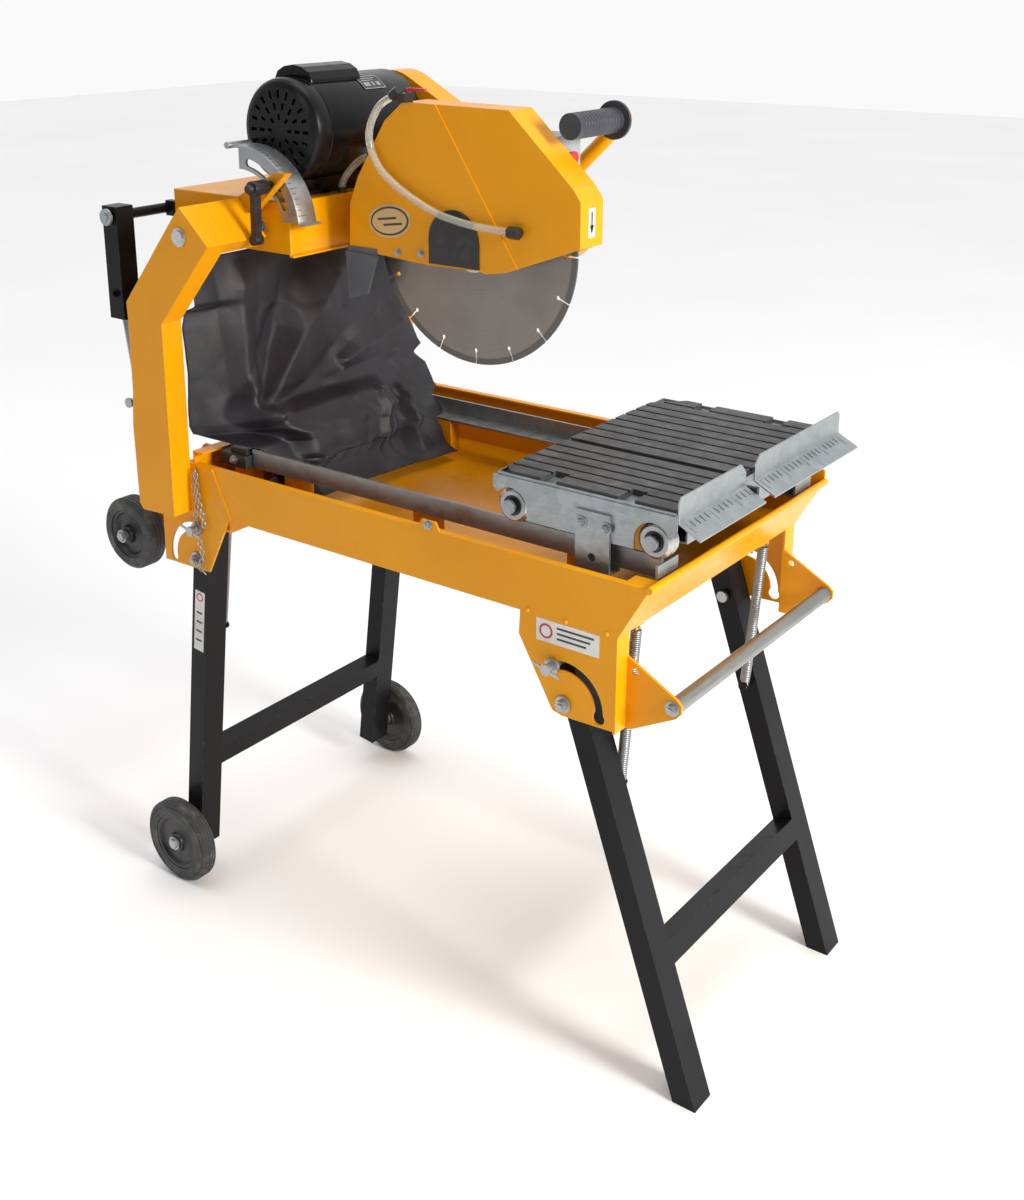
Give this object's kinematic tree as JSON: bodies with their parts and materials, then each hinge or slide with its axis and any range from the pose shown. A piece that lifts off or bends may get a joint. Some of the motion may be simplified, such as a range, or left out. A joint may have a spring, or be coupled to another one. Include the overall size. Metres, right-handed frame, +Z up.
{
  "type": "tile cutter",
  "caption": "Water-fed bench saw for tiles: a swinging motor head with a guarded round blade over a tray, a rolling cart with a fence, and a folding leg stand with wheels.",
  "frame": {"origin": "centre of the whole outline on the floor", "axes": "+X along the rails to the fence end, +Y across the machine away from the blade guard side, +Z up"},
  "size_m": [1.1698, 0.602, 1.375],
  "materials": {
    "orange_paint": "gloss",
    "black_paint": "semi-gloss",
    "zinc_plate": "satin zinc",
    "bright_steel": "turned",
    "blade_steel": "ground",
    "black_rubber": "matt",
    "flap_rubber": "matt",
    "wheel_tyre": "matt",
    "black_plastic": "satin",
    "curtain_cloth": "coated woven cloth",
    "grey_box": "satin",
    "clear_hose": "clear vinyl",
    "red_plastic": "gloss"
  },
  "bodies": {
    "frame": {"tray": "orange_paint", "column_near": "orange_paint", "column_far": "orange_paint", "tie_beam": "orange_paint", "clamp_plate": "orange_paint", "rails": "zinc_plate", "stop_blocks": "black_rubber", "front_brackets": "orange_paint", "rear_brackets": "orange_paint", "carry_bar": "zinc_plate", "wheel_carrier": "orange_paint", "frame_bolts": "zinc_plate", "pivot_shaft": "bright_steel", "curtain": "curtain_cloth", "leg_springs": "zinc_plate", "lift_spring": "zinc_plate"},
    "head": {"head_box": "orange_paint", "strut_rod": "black_paint", "head_bolts": "zinc_plate", "depth_gauge": "zinc_plate", "motor": "black_paint", "motor_box": "black_paint", "arm": "orange_paint", "belt_cover": "orange_paint", "belt": "black_rubber", "guard": "orange_paint", "guard_window": "black_plastic", "splash_flap": "flap_rubber", "grip": "black_rubber", "switch_box": "grey_box", "hoses": "clear_hose", "water_fittings": "black_plastic"},
    "blade_set": {"spindle": "bright_steel", "blade": "blade_steel"},
    "motor_drive": {"motor_pulley": "bright_steel"},
    "clamp": {"clamp_lever": "black_plastic"},
    "switch": {"switch_button": "red_plastic"},
    "valve": {"valve_lever": "red_plastic"},
    "lift": {"lift_tube": "black_paint"},
    "cart": {"cart_frame": "zinc_plate", "pad_near": "black_rubber", "pad_far": "black_rubber", "fence_near": "zinc_plate", "fence_far": "zinc_plate"},
    "front_roll_set": {"front_rollers": "zinc_plate"},
    "rear_roll_set": {"rear_rollers": "zinc_plate"},
    "front_stand": {"front_legs": "black_paint", "front_feet": "black_rubber"},
    "rear_stand": {"rear_legs": "black_paint", "wheel_bolts": "zinc_plate"},
    "pin_fn": {"pin_front_near": "zinc_plate"},
    "pin_ff": {"pin_front_far": "zinc_plate"},
    "pin_rn": {"pin_rear_near": "zinc_plate"},
    "pin_rf": {"pin_rear_far": "zinc_plate"},
    "wheel_near": {"tyre_near": "wheel_tyre", "hub_near": "black_plastic"},
    "wheel_far": {"tyre_far": "wheel_tyre", "hub_far": "black_plastic"},
    "high_wheels": {"high_tyres": "wheel_tyre", "high_hubs": "black_plastic"}
  },
  "joints": [
    {"name": "head_plunge", "type": "hinge", "parent": "frame", "child": "head", "pos_m": [-0.29, 0, 1.139], "axis": [0, 1, 0], "range_deg": [0, 18], "deforming": ["lift_spring"]},
    {"name": "blade_spin", "type": "hinge", "parent": "head", "child": "blade_set", "pos_m": [0.069, 0, 1.1316], "axis": [0, 1, 0], "continuous": true},
    {"name": "motor_spin", "type": "hinge", "parent": "head", "child": "motor_drive", "pos_m": [-0.246, 0, 1.28], "axis": [0, 1, 0], "continuous": true},
    {"name": "clamp_turn", "type": "hinge", "parent": "frame", "child": "clamp", "pos_m": [-0.218, 0, 1.206], "axis": [0, 1, 0], "range_deg": [-120, 0]},
    {"name": "switch_press", "type": "slide", "parent": "head", "child": "switch", "axis": [-1, 0, 0], "range_m": [0, 0.003], "stiffness_N_per_m": 400},
    {"name": "valve_turn", "type": "hinge", "parent": "head", "child": "valve", "pos_m": [-0.028, -0.083, 1.346], "axis": [0, 0, 1], "range_deg": [0, 90]},
    {"name": "lift_swing", "type": "hinge", "parent": "head", "child": "lift", "pos_m": [-0.466, 0, 1.15], "axis": [0, 1, 0], "range_deg": [-16, 0]},
    {"name": "cart_slide", "type": "slide", "parent": "frame", "child": "cart", "axis": [-1, 0, 0], "range_m": [0, 0.355]},
    {"name": "front_roll", "type": "hinge", "parent": "cart", "child": "front_roll_set", "pos_m": [0.477, 0, 0.819], "axis": [0, 1, 0], "continuous": true},
    {"name": "rear_roll", "type": "hinge", "parent": "cart", "child": "rear_roll_set", "pos_m": [0.255, 0, 0.819], "axis": [0, 1, 0], "continuous": true},
    {"name": "front_fold", "type": "hinge", "parent": "frame", "child": "front_stand", "pos_m": [0.37, 0, 0.573], "axis": [0, 1, 0], "range_deg": [0, 108], "deforming": ["leg_springs"]},
    {"name": "rear_fold", "type": "hinge", "parent": "frame", "child": "rear_stand", "pos_m": [-0.343, 0, 0.607], "axis": [0, -1, 0], "range_deg": [0, 101], "deforming": ["leg_springs"]},
    {"name": "pin_pull_front_near", "type": "slide", "parent": "front_stand", "child": "pin_fn", "axis": [0, -1, 0], "range_m": [0, 0.02]},
    {"name": "pin_pull_front_far", "type": "slide", "parent": "front_stand", "child": "pin_ff", "axis": [0, 1, 0], "range_m": [0, 0.02]},
    {"name": "pin_pull_rear_near", "type": "slide", "parent": "rear_stand", "child": "pin_rn", "axis": [0, -1, 0], "range_m": [0, 0.02]},
    {"name": "pin_pull_rear_far", "type": "slide", "parent": "rear_stand", "child": "pin_rf", "axis": [0, 1, 0], "range_m": [0, 0.02]},
    {"name": "wheel_roll_near", "type": "hinge", "parent": "rear_stand", "child": "wheel_near", "pos_m": [-0.408, 0, 0.074], "axis": [0, 1, 0], "continuous": true},
    {"name": "wheel_roll_far", "type": "hinge", "parent": "rear_stand", "child": "wheel_far", "pos_m": [-0.408, 0, 0.074], "axis": [0, 1, 0], "continuous": true},
    {"name": "high_wheel_roll", "type": "hinge", "parent": "frame", "child": "high_wheels", "pos_m": [-0.523, 0, 0.605], "axis": [0, 1, 0], "continuous": true}
  ],
  "couplings": [
    {"joint": "motor_spin", "follows": "blade_spin", "ratio": 0.8182},
    {"joint": "lift_swing", "follows": "head_plunge", "ratio": -0.85},
    {"joint": "front_roll", "follows": "cart_slide", "rad_per_m": -43.48},
    {"joint": "rear_roll", "follows": "cart_slide", "rad_per_m": -43.48}
  ]
}
